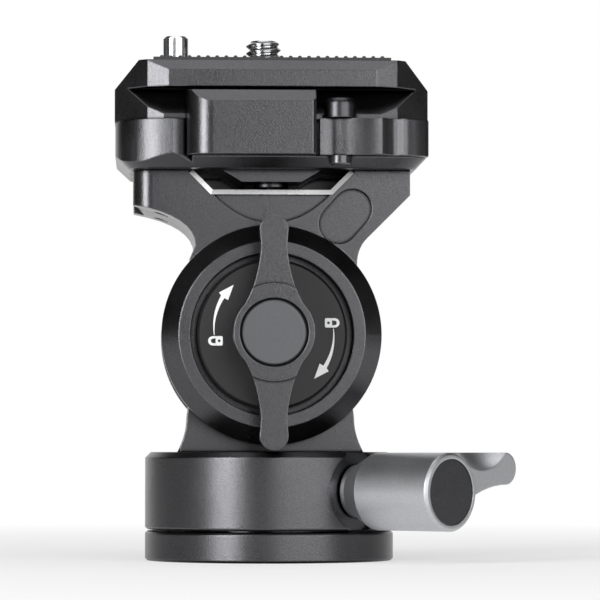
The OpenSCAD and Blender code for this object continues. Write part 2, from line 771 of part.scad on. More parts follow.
module jaw_window(gap) {
    translate([jaw_x - jaw_w / 2 - gap, -jaw_front - cut, jaw_z])
        cube([jaw_w + 2 * gap, jaw_front + cut - jaw_back + gap, jaw_h + cut]);
}

// Carries the lever's pin below the lever
module lever_lug() {
    translate([lever_pivot_x, pivot_y, seat_z + edge_chamfer])
        cylinder(r = lever_pin_r * 1.7, h = lever_z - running_gap - seat_z - edge_chamfer);
}

module lever_room() {
    x0 = jaw_x + jaw_w / 2 - cut;
    translate([x0, -2 * clamp_half_w, lever_z - running_gap])
        cube([2 * clamp_half_l, 2 * clamp_half_w + pivot_y + lever_boss_r + side_gap, clamp_h]);
}

// Cuts the front of the clamp's left half back to a bulging curve
module bulge_cut() {
    left = -clamp_half_l;
    crest = jaw_x - jaw_w / 2 - bulge_crest;
    curve = bend([left, -clamp_half_w * 0.52], [left + side_gap, -clamp_half_w * 0.93],
        [crest, -clamp_half_w], 10);
    translate([0, 0, seat_z - cut]) linear_extrude(clamp_h + 2 * cut)
        polygon(concat([[left - cut, -clamp_half_w * 0.52]], curve,
            [[crest + bulge_crest * 0.5, -clamp_half_w + side_gap],
            [jaw_x - jaw_w / 2 + cut, -clamp_half_w + bulge_crest * 0.7],
            [jaw_x - jaw_w / 2 + cut, -clamp_half_w - cut], [left - cut, -clamp_half_w - cut]]));
}

module at_guide_pins() {
    for (side = [-1, 1]) translate([jaw_x + side * jaw_w / 3, -jaw_back, (jaw_z + clamp_top) / 2])
        rotate([90, 0, 0]) children();
}

module clamp_base() {
    rear_x = jaw_w * 0.7;
    color("#2c2d30") difference() {
        union() {
            hull() {
                translate([0, 0, seat_z]) linear_extrude(edge_chamfer)
                    round_plan(clamp_half_l - clamp_under_chamfer,
                        clamp_half_w - clamp_under_chamfer, corner_r, $fn = 32);
                translate([0, 0, under_top]) linear_extrude(edge_chamfer)
                    round_plan(clamp_half_l, clamp_half_w, corner_r, $fn = 32);
            }
            translate([0, 0, under_top]) linear_extrude(clamp_top - under_top)
                round_plan(clamp_half_l, clamp_half_w, corner_r);
            along_x(-rear_x, rear_x) polygon([[relief_y - cut, lever_z],
                [clamp_half_w - cut, lever_z], [rear_y, lever_z + jaw_bevel + cut],
                [rear_y, hook_top - jaw_bevel], [rear_y - jaw_bevel, hook_top],
                [hook_tip, hook_top], [hook_tip, slope_top - hook_back], [relief_y, clamp_top]]);
            keel();
            lever_lug();
        }
        jaw_window(running_gap);
        lever_room();
        bulge_cut();
        at_guide_pins() translate([0, 0, -jaw_back / 2]) cylinder(r = M3_r / 2, h = jaw_front);
        at_guide_pins() translate([0, 0, -jaw_back / 2]) cylinder(r = M3_r, h = jaw_back / 2 + cut);
        at_clamp_screws() {
            disc(M3_r, clamp_h + 2 * cut, seat_z - cut);
            disc(M3_r * 1.9, M3_r * 2 + cut, clamp_top - M3_r * 2);
        }
        translate([lever_pivot_x, pivot_y, seat_z - cut]) cylinder(r = lever_pin_r, h = clamp_h + 2 * cut);
        translate([0, keel_screw_y, 0]) disc(M3_r, clamp_h, keel_low - cut);
    }
}

// The keel under the clamp, which hangs into the bracket's channel
module keel() {
    translate([0, upright_t / 2, 0]) rotate([90, 0, 0])
        linear_extrude(upright_t / 2 + shaft_front) polygon([[-channel_half_w, seat_z + cut],
            [-channel_half_w * 0.5, keel_low], [channel_half_w * 0.5, keel_low],
            [channel_half_w, seat_z + cut]]);
}

// Holds the keel from below, and shows in the channel
module keel_screw() {
    color("#3a3b3d") translate([0, keel_screw_y, 0]) difference() {
        union() {
            disc(M3_r * 2, M3_r / 2, keel_low - M3_r / 2);
            disc(M3_r, clamp_h * 0.6, keel_low - cut / 2);
        }
        translate([0, 0, keel_low - M3_r]) cylinder(r = M3_r * 0.9, h = 2 * M3_r, $fn = 6);
    }
}

module clamp_screws() {
    color("#3a3b3d") at_clamp_screws() difference() {
        union() {
            disc(M3_r, clamp_h + channel_d - M3_r, seat_z - channel_d);
            disc(M3_r * 1.8, M3_r * 1.8, clamp_top - M3_r * 2);
        }
        translate([0, 0, clamp_top - M3_r]) cylinder(r = M3_r * 0.9, h = clamp_h, $fn = 6);
    }
}

module front_jaw() {
    x0 = jaw_x - jaw_w / 2;
    face_top = jaw_z + jaw_h;
    color("#2e2f32") difference() {
        along_x(x0, x0 + jaw_w) polygon([[-jaw_front, jaw_z], [-jaw_front, face_top - jaw_bevel],
            [-jaw_front + jaw_bevel, face_top], [-hook_tip, face_top],
            [-hook_tip, slope_top - hook_back], [-relief_y - running_gap, plate_z - running_gap],
            [-jaw_back, plate_z - running_gap],
            [-jaw_back, jaw_z]]);
        translate([x0, -jaw_front, jaw_z]) difference() {
            translate([-cut, -cut, -cut]) cube([jaw_round + cut, jaw_round + cut, jaw_h + 2 * cut]);
            translate([jaw_round, jaw_round, -2 * cut]) cylinder(r = jaw_round, h = jaw_h + 4 * cut);
        }
        translate([x0 + jaw_w, -jaw_front, jaw_z + jaw_h / 2]) rotate(45)
            cube([edge_chamfer * 2, edge_chamfer * 2, 2 * jaw_h], center = true);
        at_guide_pins() translate([0, 0, -cut]) cylinder(r = M3_r / 2 + running_gap, h = jaw_depth);
    }
}

module jaw_guide_pins() {
    color("#a5a7aa") at_guide_pins() translate([0, 0, -jaw_back / 2])
        cylinder(r = M3_r / 2, h = jaw_back / 2 + jaw_depth - cut - jaw_travel);
}

module jaw_springs() {
    wire = M3_r / 4;
    color("#b5b7ba") at_guide_pins() translate([0, 0, -jaw_back / 2]) difference() {
        cylinder(r = M3_r - running_gap, h = jaw_back / 2);
        translate([0, 0, -cut]) cylinder(r = M3_r - wire, h = jaw_back);
    }
}

// The clamp lever seen from above, from its pivot: a back edge and a scalloped front
module lever_outline() {
    r = lever_boss_r;
    w = lever_reach;
    wave = concat(bend([-r, -r * 0.5], [-r * 0.5, -r * 0.2], [0, -r * 0.42], 5),
        bend([w * 0.03, -r * 0.44], [w * 0.3, -r * 0.78], [w * 0.45, -r * 0.7], 8),
        bend([w * 0.47, -r * 0.66], [w * 0.58, -r * 0.08], [w * 0.64, -r * 0.1], 6),
        [[w * 0.7, -r * 0.26], [w * 0.74, -r * 0.22]],
        bend([w * 0.77, -r * 0.14], [w * 0.98, r * 0.3], [w, r * 0.62], 6));
    polygon(concat(wave, [[w - r * 0.3, r]], bend([0, r], [-r * 0.9, r * 0.9], [-r, 0], 5)));
}

module clamp_lever() {
    color("#303134") translate([lever_pivot_x, pivot_y, lever_z])
        linear_extrude(lever_h - running_gap) difference() {
            lever_outline();
            circle(lever_pin_r + running_gap);
        }
}

module lever_pin() {
    top = clamp_top + lever_boss_r;
    head_r = lever_boss_r - 2 * side_gap;
    color("#303134") translate([lever_pivot_x, pivot_y, 0]) difference() {
        rotate_extrude() polygon(concat(
            [[0, seat_z + edge_chamfer], [lever_pin_r, seat_z + edge_chamfer],
            [lever_pin_r, clamp_top + running_gap], [head_r, clamp_top + running_gap]],
            bend([head_r, top - head_r / 2], [head_r, top], [head_r / 2, top]), [[0, top]]));
        translate([-lever_boss_r, lever_pin_r + side_gap / 2, seat_z])
            cube([2 * lever_boss_r, lever_boss_r, clamp_h + 2 * lever_boss_r]);
    }
}

module plate_profile() {
    u = dovetail_half_w;
    half = [[u, plate_z], [u, lip_top], [neck_half_w, flange_z],
        [u + side_gap, flange_z], [u + side_gap, plate_top - plate_bevel],
        [u + side_gap - plate_bevel, plate_top]];
    polygon(concat(half, [for (i = [len(half) - 1 : -1 : 0]) [-half[i][0], half[i][1]]]));
}

module camera_plate() {
    color("#2a2b2e") difference() {
        intersection() {
            along_x(-plate_half_l, plate_half_l) plate_profile();
            upright_slab(-clamp_half_w, clamp_half_w) polygon([[-plate_half_l, plate_z],
                [plate_half_l, plate_z], [plate_half_l, flange_z], [plate_half_l - end_slope, plate_top],
                [end_slope - plate_half_l, plate_top], [-plate_half_l, flange_z]]);
            plate_plan();
        }
        translate([camera_screw_x, 0, 0]) {
            disc(camera_screw_r - side_gap + running_gap, plate_top, seat_z);
            disc(screw_head_r + side_gap, head_t + slip_washer_t + cut, plate_z - cut);
            disc(camera_screw_r + side_gap + spindle_flange_t, spindle_flange_t + cut,
                head_z + head_t - cut);
        }
        translate([pin_x, 0, 0]) {
            disc(locating_pin_r + side_gap + running_gap, plate_top, seat_z);
            disc(collar_r + running_gap, pin_room_top - plate_z + cut, plate_z - cut);
        }
        pad_room();
    }
}

module plate_plan() {
    u = dovetail_half_w + side_gap;
    c = plate_corner;
    l = plate_half_l;
    corner = [[l, u - facet_d - c], [l - c, u - facet_d], [l - c - facet_w, u]];
    mirrored = [for (i = [2 : -1 : 0]) [-corner[i][0], corner[i][1]]];
    half = concat(corner, mirrored);
    translate([0, 0, seat_z]) linear_extrude(2 * clamp_h + flange_h)
        polygon(concat(half, [for (i = [len(half) - 1 : -1 : 0]) [half[i][0], -half[i][1]]]));
}

module pad_room() {
    translate([-pad_half_l, -pad_half_w, plate_top - pad_t / 2])
        cube([2 * pad_half_l, 2 * pad_half_w, pad_t + cut]);
}

// The grip pad: a sheet with ribs across the camera's line of sight
module grip_pad() {
    count = floor((2 * pad_half_l - rib_pitch) / rib_pitch);
    z0 = plate_top - pad_t / 2;
    rib_r = rib_pitch / 4;
    color("#1f2022") difference() {
        union() {
            translate([-pad_half_l, -pad_half_w, z0]) cube([2 * pad_half_l, 2 * pad_half_w, pad_t]);
            for (i = [0 : count]) translate([(i - count / 2) * rib_pitch, 0, z0 + pad_t])
                rotate([90, 0, 0])
                    cylinder(r = rib_r, h = 2 * pad_half_w - rib_pitch, center = true, $fn = 8);
        }
        translate([camera_screw_x, 0, 0]) disc(camera_screw_r * 1.6, 2 * plate_top, plate_z);
        translate([pin_x, 0, 0]) disc(locating_pin_r + 3 * side_gap, 2 * plate_top, plate_z);
    }
}

module camera_screw() {
    top = plate_top + camera_screw_rise;
    color("#d0d1d3") translate([camera_screw_x, 0, 0]) difference() {
        union() {
            disc(screw_head_r, head_t, head_z - slip_washer_t / 2);
            disc(camera_screw_r - side_gap, plate_top - head_z, head_z);
            disc(camera_screw_r, camera_screw_rise - edge_chamfer, plate_top);
            translate([0, 0, top - edge_chamfer])
                cylinder(r1 = camera_screw_r, r2 = camera_screw_r - edge_chamfer, h = edge_chamfer);
        }
        translate([-screw_head_r - cut, -slip_washer_t, plate_z])
            cube([2 * screw_head_r + 2 * cut, 2 * slip_washer_t, head_t * 0.7]);
        difference() {
            disc(camera_screw_r + cut, slip_washer_t, head_z + head_t + slip_washer_t);
            disc(camera_screw_r - 2 * side_gap, slip_washer_t, head_z + head_t + slip_washer_t);
        }
    }
}

module screw_retainer() {
    color("#8d8f93") translate([camera_screw_x, 0, 0]) difference() {
        disc(camera_screw_r + spindle_flange_t, slip_washer_t - 2 * running_gap,
            head_z + head_t + slip_washer_t + running_gap);
        disc(camera_screw_r - 2 * side_gap + running_gap, plate_top, plate_z);
        translate([0, -camera_screw_r / 2, plate_z]) cube([screw_head_r, camera_screw_r, flange_h * 2]);
    }
}

module locating_pin() {
    top = plate_top + locating_pin_rise;
    color("#cfd0d2") translate([pin_x, 0, 0]) rotate_extrude() polygon([
        [0, pin_room_top - collar_t], [collar_r, pin_room_top - collar_t], [collar_r, pin_room_top],
        [locating_pin_r + side_gap, pin_room_top], [locating_pin_r + side_gap, plate_top],
        [locating_pin_r, plate_top], [locating_pin_r, top - edge_chamfer],
        [locating_pin_r - edge_chamfer, top], [0, top]]);
}

// The spring under the locating pin, one unbroken wire
module locating_spring() {
    low = plate_z + plug_t;
    high = pin_room_top - collar_t;
    wire = locating_pin_r / 8;
    coil_r = collar_r - 2 * wire;
    turns = 4;
    sides = 6;
    rings_a_turn = 8;
    rings = turns * rings_a_turn;
    rise = high - low - 2 * wire - 2 * running_gap;
    points = [for (i = [0 : rings], j = [0 : sides - 1]) let (a = 360 * i / rings_a_turn, b = 360 * j / sides)
        [(coil_r + wire * cos(b)) * cos(a), (coil_r + wire * cos(b)) * sin(a),
            low + wire + running_gap + rise * i / rings + wire * sin(b)]];
    faces = concat([for (i = [0 : rings - 1], j = [0 : sides - 1]) let (k = (j + 1) % sides)
            [i * sides + j, (i + 1) * sides + j, (i + 1) * sides + k]],
        [for (i = [0 : rings - 1], j = [0 : sides - 1]) let (k = (j + 1) % sides)
            [i * sides + j, (i + 1) * sides + k, i * sides + k]],
        [for (j = [1 : sides - 2]) [0, j, j + 1]],
        [for (j = [1 : sides - 2]) [rings * sides, rings * sides + j + 1, rings * sides + j]]);
    color("#b5b7ba") translate([pin_x, 0, 0]) polyhedron(points, faces);
}

module pin_plug() {
    color("#3a3b3d") translate([pin_x, 0, 0]) disc(collar_r + running_gap, plug_t, plate_z);
}

base_plate();
tripod_insert();
pan_spindle();
spindle_screws();
spindle_nut();
pan_housing();
pan_bush();
lower_slip_washer();
upper_slip_washer();
well_cover();
pan_lock_shoe();
pan_lock_stud();
pan_lock_lever();
pan_lock_disc();
upright();
upright_screws();
tilt_shaft();
tilt_nut();
tilt_bushes();
tilt_slip_washers();
tilt_dial();
tilt_lever();
tilt_lever_insert();
tilt_lever_cap();
bracket();
rear_cover();
rear_cover_screws();
clamp_base();
keel_screw();
clamp_screws();
front_jaw();
jaw_guide_pins();
jaw_springs();
clamp_lever();
lever_pin();
camera_plate();
grip_pad();
camera_screw();
screw_retainer();
locating_pin();
locating_spring();
pin_plug();
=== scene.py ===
# %% [markdown]
# # A compact fluid video head, finished and lit
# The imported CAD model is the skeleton: every machined part is already in its real place and size.
# This lesson gives those parts their finishes, and adds the shapes that a turning lathe, a milling
# cutter and a printing pad leave on them. All lengths are metres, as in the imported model.

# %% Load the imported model
import json
import math
import bpy
import numpy as np
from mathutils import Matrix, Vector


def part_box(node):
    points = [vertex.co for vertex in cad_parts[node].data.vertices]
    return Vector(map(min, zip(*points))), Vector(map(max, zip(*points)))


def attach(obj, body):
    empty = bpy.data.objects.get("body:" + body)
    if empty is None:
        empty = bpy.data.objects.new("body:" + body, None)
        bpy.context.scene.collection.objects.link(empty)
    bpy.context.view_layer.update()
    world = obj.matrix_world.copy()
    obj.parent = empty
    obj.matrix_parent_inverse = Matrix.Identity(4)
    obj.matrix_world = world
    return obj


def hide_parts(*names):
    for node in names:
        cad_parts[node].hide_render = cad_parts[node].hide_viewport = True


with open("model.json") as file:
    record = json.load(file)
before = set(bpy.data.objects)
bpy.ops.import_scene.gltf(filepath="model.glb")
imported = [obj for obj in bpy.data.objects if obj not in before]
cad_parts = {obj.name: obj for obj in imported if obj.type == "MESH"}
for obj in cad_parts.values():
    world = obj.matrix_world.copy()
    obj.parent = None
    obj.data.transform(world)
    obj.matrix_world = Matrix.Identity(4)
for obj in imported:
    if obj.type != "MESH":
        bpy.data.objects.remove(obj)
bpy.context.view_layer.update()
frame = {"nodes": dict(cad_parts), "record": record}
NODES = frame["nodes"]
MM = 0.001
print("parts in the packed model:", len(NODES))

# %% [markdown]
# ## Small tools
# A few helpers are enough: one turns a written colour into the linear numbers that light is summed
# in, one adds a shader node with its settings and links, and two turn a grid of points into a mesh.

# %% Colour and node helpers
def linear(code):
    """sRGB hex text to linear light: each channel over 255, then the sRGB curve undone."""
    part = np.array([int(code[i:i + 2], 16) for i in (1, 3, 5)]) / 255
    lit = np.where(part <= 0.04045, part / 12.92, ((part + 0.055) / 1.055) ** 2.4)
    return (*lit.tolist(), 1.0)


def add(tree, kind, settings=None, links=None):
    """Adds one shader node. A setting is an input's value or a property; a link is a socket."""
    node = tree.nodes.new("ShaderNode" + kind)
    for key, value in (settings or {}).items():
        if isinstance(key, int) or key in node.inputs:
            node.inputs[key].default_value = value
        else:
            setattr(node, key, value)
    for key, socket in (links or {}).items():
        tree.links.new(socket, node.inputs[key])
    return node


def new_material(name):
    """An empty node material with its output, and the object coordinates that patterns read."""
    material = bpy.data.materials.new(name)
    material.use_nodes = True
    tree = material.node_tree
    tree.nodes.clear()
    place = add(tree, "TexCoord").outputs["Object"]
    return material, tree, place


def finish_material(tree, shader):
    """Leads a finished shader to the material's output."""
    add(tree, "OutputMaterial", links={"Surface": shader.outputs[0]})


print("linear value of mid grey:", round(linear("#808080")[0], 3))

# %% Mesh helpers
def mesh_object(name, points, faces, material, body, smooth=True):
    """Puts arrays of points and faces into a mesh object that rides on a body."""
    mesh = bpy.data.meshes.new(name)
    mesh.from_pydata(np.asarray(points, float).tolist(), [], [list(map(int, f)) for f in faces])
    mesh.validate()
    mesh.polygons.foreach_set("use_smooth", np.full(len(mesh.polygons), smooth))
    mesh.materials.append(material)
    piece = bpy.data.objects.new(name, mesh)
    bpy.context.scene.collection.objects.link(piece)
    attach(piece, body)
    return piece


def grid_faces(rows, columns, wrap_rows=False, wrap_columns=False):
    """Quads of a grid: point (i, j) is number i * columns + j, and a wrapped side joins its ends."""
    i = np.arange(rows if wrap_rows else rows - 1)
    j = np.arange(columns if wrap_columns else columns - 1)
    i, j = (a.ravel() for a in np.meshgrid(i, j, indexing="ij"))
    down, right = (i + 1) % rows, (j + 1) % columns
    return np.stack([i * columns + j, i * columns + right, down * columns + right,
                     down * columns + j], axis=1)


print("quads of a 4 by 4 grid:", len(grid_faces(4, 4)))

# %% [markdown]
# ## Bead-blasted black anodised aluminium
# The body parts are milled from aluminium, blasted with fine glass beads and dyed black while an
# oxide layer is grown. The eye sees a soft broad sheen with a fine glitter, never a mirror, and the
# sharp corners, where the layer is thin, catch a paler line. The beads leave dimples of 0.1 mm; they
# are drawn at 0.25 mm, because a picture of the whole head can't show finer ones. The barrel of the
# side lever is blasted the same way but left undyed, so it is pale grey with a wider sheen, and the
# screws are steel blackened in a hot bath. Narrow gaps between parts look black on the real head,
# so shade is painted into each metal's colour where other walls stand close to it.

# %% Make the blasted finish
GRAIN = 0.25 * MM
CLOUD = 9 * MM
CORNER_ROUND = 0.3 * MM
FLAT_ABOVE, WORN_BELOW, WORN = 0.998, 0.90, 0.35
NOOK_REACH = 0.9 * MM
NOOK_DARK, NOOK_OPEN = 0.5, 0.85


def painted_nook_shade(tree, colour):
    """Paints shade into a colour: scales it by how much of its view is open, to a tenth where half or
    less is open, up to all of it where 0.85 or more is open."""
    nook = add(tree, "AmbientOcclusion", {"Distance": NOOK_REACH, "samples": 8})
    shade = add(tree, "MapRange", {"From Min": NOOK_DARK, "From Max": NOOK_OPEN, "To Min": 0.10,
                                   "To Max": 1.0}, {"Value": nook.outputs["AO"]})
    scaled = add(tree, "VectorMath", {"operation": "SCALE"}, {0: colour, "Scale": shade.outputs["Result"]})
    return scaled.outputs[0]


def blasted(name, deep, pale, edge, rough, dimple=0.05 * MM):
    """Blasted metal: two close tones mixed by fine noise, dimples, and pale worn corners. A corner is
    where the rounded direction leaves the face's own, so that their dot product falls below 1."""
    material, tree, place = new_material(name)
    fine = add(tree, "TexNoise", {"Scale": 1 / GRAIN, "Detail": 2.0, "Roughness": 0.6}, {"Vector": place})
    cloud = add(tree, "TexNoise", {"Scale": 1 / CLOUD, "Detail": 2.0}, {"Vector": place})
    tone = add(tree, "Mix", {"data_type": "RGBA", 6: linear(deep), 7: linear(pale)},
               {0: fine.outputs["Fac"]})
    soft = add(tree, "Bevel", {"Radius": CORNER_ROUND, "samples": 6})
    flat = add(tree, "NewGeometry")
    facing = add(tree, "VectorMath", {"operation": "DOT_PRODUCT"},
                 {0: soft.outputs["Normal"], 1: flat.outputs["Normal"]})
    corner = add(tree, "MapRange", {"From Min": FLAT_ABOVE, "From Max": WORN_BELOW, "To Min": 0.0,
                                    "To Max": WORN}, {"Value": facing.outputs["Value"]})
    colour = add(tree, "Mix", {"data_type": "RGBA", 7: linear(edge)},
                 {0: corner.outputs["Result"], 6: tone.outputs[2]})
    even = add(tree, "MapRange", {"From Min": 0.3, "From Max": 0.7, "To Min": rough - 0.04,
                                  "To Max": rough + 0.04}, {"Value": cloud.outputs["Fac"]})
    bump = add(tree, "Bump", {"Strength": 0.35, "Distance": dimple},
               {"Height": fine.outputs["Fac"], "Normal": soft.outputs["Normal"]})
    # Painted shade: the base colour is darkened in narrow gaps and corners, where other walls stand close.
    shader = add(tree, "BsdfPrincipled", {"Metallic": 1.0},
                 {"Base Color": painted_nook_shade(tree, colour.outputs[2]),
                  "Roughness": even.outputs["Result"], "Normal": bump.outputs["Normal"]})
    finish_material(tree, shader)
    return material


black_anodised = blasted("bead_blasted_black_anodised_aluminium", "#3f3f41", "#616163", "#9a9a9e", 0.29,
                         dimple=0.07 * MM)
silver_anodised = blasted("bead_blasted_natural_anodised_aluminium", "#adaeb1", "#d6d7da", "#f0f0f2",
                          0.42, dimple=0.10 * MM)
oxide_steel = blasted("black_oxide_steel", "#404042", "#505053", "#7a7a7e", 0.30)
print("blasted finishes:", black_anodised.name, silver_anodised.name)

# %% [markdown]
# ## Turned and polished metals
# Shafts, pins and screws come off a lathe, so they carry fine rings round their axis and show a
# streaked mirror. The cap of the tilt lever is turned too, and dyed grey. Brass parts are inside; they
# are the same lathe work in a yellow alloy. The rings of a fine cut are 0.1 mm apart; they are drawn
# at 0.75 to 1 mm, because a picture of the whole head can't show finer ones.

# %% Make the turned finishes
WAVE_STEP = 2 * math.pi / 20
SPECK = 0.4 * MM
DEEPER = 0.82


def turned_metal(name, base, rough, ring=0.754 * MM, centre=(0, 0, 0), axis="Z", depth=0.004 * MM):
    """Lathe-turned metal: rings round an axis, as a wave on the distance from that axis. The wave
    node repeats each WAVE_STEP of its input, so its scale is WAVE_STEP over the rings' spacing."""
    material, tree, place = new_material(name)
    moved = add(tree, "Mapping", {"Location": [-c for c in centre]}, {"Vector": place})
    rings = add(tree, "TexWave", {"wave_type": "RINGS", "rings_direction": axis, "Scale": WAVE_STEP / ring,
                                  "Distortion": 0.4, "Detail": 1.0}, {"Vector": moved.outputs["Vector"]})
    fine = add(tree, "TexNoise", {"Scale": 1 / SPECK, "Detail": 2.0}, {"Vector": place})
    streak = add(tree, "MapRange", {"To Min": rough - 0.05, "To Max": rough + 0.07},
                 {"Value": rings.outputs["Fac"]})
    deep = tuple(DEEPER * c for c in linear(base)[:3]) + (1.0,)
    tone = add(tree, "Mix", {"data_type": "RGBA", 6: linear(base), 7: deep}, {0: fine.outputs["Fac"]})
    bump = add(tree, "Bump", {"Strength": 0.4, "Distance": depth}, {"Height": rings.outputs["Fac"]})
    # Painted shade: the base colour is darkened in narrow gaps and corners, where other walls stand close.
    shader = add(tree, "BsdfPrincipled", {"Metallic": 1.0},
                 {"Base Color": painted_nook_shade(tree, tone.outputs[2]),
                  "Roughness": streak.outputs["Result"], "Normal": bump.outputs["Normal"]})
    finish_material(tree, shader)
    return material


DIAL_LOW, DIAL_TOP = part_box("tilt_dial")
TILT_AXIS = (0, 0, (DIAL_LOW[2] + DIAL_TOP[2]) / 2)
bright_steel = turned_metal("turned_stainless_steel", "#d2d3d5", 0.22)
brass = turned_metal("turned_brass", "#cfa65a", 0.30)
turned_cap = turned_metal("turned_grey_anodised_aluminium", "#636466", 0.40, ring=1.005 * MM,
                          centre=TILT_AXIS, axis="Y")
print("turned finishes:", bright_steel.name, brass.name, turned_cap.name)

# %% [markdown]
# ## Plastics and rubber
# The dial is a moulded black disc with a smooth semi-gloss face. The drag washers are a polymer that
# graphite makes nearly black, and the pad on the plate is a matt black rubber with the bloom that
# rubber gets with age. The marks are a white ink from a printing pad, which dries dull. Such surfaces
# take the grain of their mould, and 0.2 mm is the finest that the picture shows.

# %% Make the plastics and the rubber
MOULD_GRAIN = 0.2 * MM


def moulded(name, deep, pale, rough, patch, relief, sheen=0.0):
    """A moulded solid: two close tones in soft patches, a fine relief, and a sheen on rubber."""
    material, tree, place = new_material(name)
    cloud = add(tree, "TexNoise", {"Scale": 1 / patch, "Detail": 4.0}, {"Vector": place})
    fine = add(tree, "TexNoise", {"Scale": 1 / MOULD_GRAIN, "Detail": 2.0}, {"Vector": place})
    tone = add(tree, "Mix", {"data_type": "RGBA", 6: linear(deep), 7: linear(pale)},
               {0: cloud.outputs["Fac"]})
    even = add(tree, "MapRange", {"To Min": rough - 0.05, "To Max": rough + 0.06},
               {"Value": cloud.outputs["Fac"]})
    bump = add(tree, "Bump", {"Strength": 0.3, "Distance": relief}, {"Height": fine.outputs["Fac"]})
    shader = add(tree, "BsdfPrincipled", {"Sheen Weight": sheen},
                 {"Base Color": tone.outputs[2], "Roughness": even.outputs["Result"],
                  "Normal": bump.outputs["Normal"]})
    finish_material(tree, shader)
    return material


dial_plastic = moulded("semi_gloss_black_acetal", "#0a0a0b", "#0f0f10", 0.42, 6 * MM, 0.004 * MM)
washer_polymer = moulded("graphite_slip_polymer", "#19191b", "#232325", 0.50, 3 * MM, 0.01 * MM)
pad_rubber = moulded("matt_black_rubber", "#2b2b2c", "#373738", 0.72, 4 * MM, 0.03 * MM, sheen=0.2)
mark_ink = moulded("white_pad_printed_ink", "#e9e9e9", "#f8f8f8", 0.55, 2 * MM, 0.004 * MM)
print("plastics:", dial_plastic.name, washer_polymer.name, pad_rubber.name)

# %% [markdown]
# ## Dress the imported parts
# The record of the model says what each part is made of. A table turns that word into a finish, so
# the parts stay exactly as they were machined and only their surface changes.

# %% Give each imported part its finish
FINISH = {
    "black_anodised_aluminium": black_anodised, "turned_cap": turned_cap, "dial_black": dial_plastic,
    "silver_anodised_aluminium": silver_anodised, "brass": brass, "bright_steel": bright_steel,
    "black_oxide_steel": oxide_steel, "slip_polymer": washer_polymer, "grip_rubber": pad_rubber}
for part in frame["record"]["subparts"]:
    mesh = NODES[part["node"]].data
    mesh.materials.clear()
    mesh.materials.append(FINISH[part["material_slot"]])

# %% [markdown]
# ## Smooth the scallops
# The scallops of the clamp and its lever are stored as many narrow flat faces. A cutter leaves one
# smooth wave there, so faces that meet at less than 28 degrees share one shading direction. The points
# stay where they are: only the direction that light is worked out with is changed.

# %% Shade the narrow faces as one curve
SAME_PLACE = 0.001 * MM


def shade_as_curve(node, widest=28.0):
    """At each point, every corner takes the sum of the corner directions that lie near its own.
    Directions alike to 0.01 count once, however many triangles share them."""
    mesh = NODES[node].data
    corners = len(mesh.loops)
    direction = np.empty(3 * corners, np.float32)
    mesh.corner_normals.foreach_get("vector", direction)
    direction = direction.reshape(-1, 3)
    at = np.empty(corners, np.int32)
    mesh.loops.foreach_get("vertex_index", at)
    place = np.empty(3 * len(mesh.vertices), np.float32)
    mesh.vertices.foreach_get("co", place)
    place = np.round(place.reshape(-1, 3)[at] / SAME_PLACE) + 0.0
    kinds = np.unique(np.column_stack([place, np.round(direction, 2) + 0.0]), axis=0)
    first, count = np.unique(kinds[:, :3], axis=0, return_index=True, return_counts=True)[1:]
    point = np.unique(place, axis=0, return_inverse=True)[1].ravel()
    turn = np.arange(count.max())
    others = kinds[np.minimum(first[point][:, None] + turn, len(kinds) - 1), 3:]
    near = (others * direction[:, None]).sum(2) > math.cos(math.radians(widest))
    total = (others * (near & (turn < count[point][:, None]))[..., None]).sum(1)
    result = total / np.linalg.norm(total, axis=1, keepdims=True)
    mesh.normals_split_custom_set(result.tolist())
    return corners


for node in ("clamp_base", "clamp_lever"):
    print("corners shaded:", node, shade_as_curve(node))

# %% [markdown]
# ## The printed marks on the dial
# Two arrows and two closed padlocks are pad-printed in white ink beside the lever. A print is a film
# of ink, so each mark is a thin flat solid that stands 0.03 mm proud of the dial. An outline drawn as
# points is enough for an arrow; a padlock is a plate with a keyhole, and a bow drawn as one bent band.
# Their lengths are in millimetres from the tilt axis, to the right and up.

# %% Draw and place the marks
DIAL_FACE = DIAL_LOW[1]
INK = 0.03 * MM


def ink_solid(name, outline):
    """A flat outline of (x, z) points from the tilt axis, in mm, given the thickness of ink."""
    flat = np.asarray(outline) * MM
    count = len(flat)
    front = np.column_stack([flat[:, 0], np.full(count, DIAL_FACE - INK), flat[:, 1] + TILT_AXIS[2]])
    behind = front + [0, 2 * INK, 0]
    ring = np.arange(count)
    rim = np.stack([ring, ring + count, (ring + 1) % count + count, (ring + 1) % count], axis=1)
    faces = [ring.tolist(), (ring[::-1] + count).tolist()] + rim.tolist()
    return mesh_object(name, np.vstack([front, behind]), faces, mark_ink, "pan", False)


def arc(radius, first, last, count, middle=(0.0, 0.0)):
    """Points on a circle: middle + radius x (cos a, sin a), for angles in degrees."""
    a = np.radians(np.linspace(first, last, count))
    return np.column_stack([middle[0] + radius * np.cos(a), middle[1] + radius * np.sin(a)])


SHAFT_TURN, SHAFT_R, SHAFT_HALF = (181, 143), (10.05, 10.75), (0.05, 0.36)
OUTER_BARB, TIP, INNER_BARB = (-9.23, 7.22), (-6.70, 8.54), (-7.66, 5.89)


def arrow_outline(steps=12):
    """A curved shaft that widens from its tail to the head, and a head swept back to two barbs."""
    a = np.radians(np.linspace(*SHAFT_TURN, steps))[:, None]
    half = np.linspace(*SHAFT_HALF, steps)[:, None]
    ray = np.hstack([np.cos(a), np.sin(a)])
    middle = np.linspace(*SHAFT_R, steps)[:, None] * ray
    return np.vstack([middle - half * ray, INNER_BARB, TIP, OUTER_BARB, (middle + half * ray)[::-1]])


RIGHT_SHIFT = np.array([0.55, 0.8])


def turned_about(outline, half_turn):
    """The marks on the right are those on the left after half a turn, printed a little off centre."""
    return RIGHT_SHIFT - outline if half_turn else outline


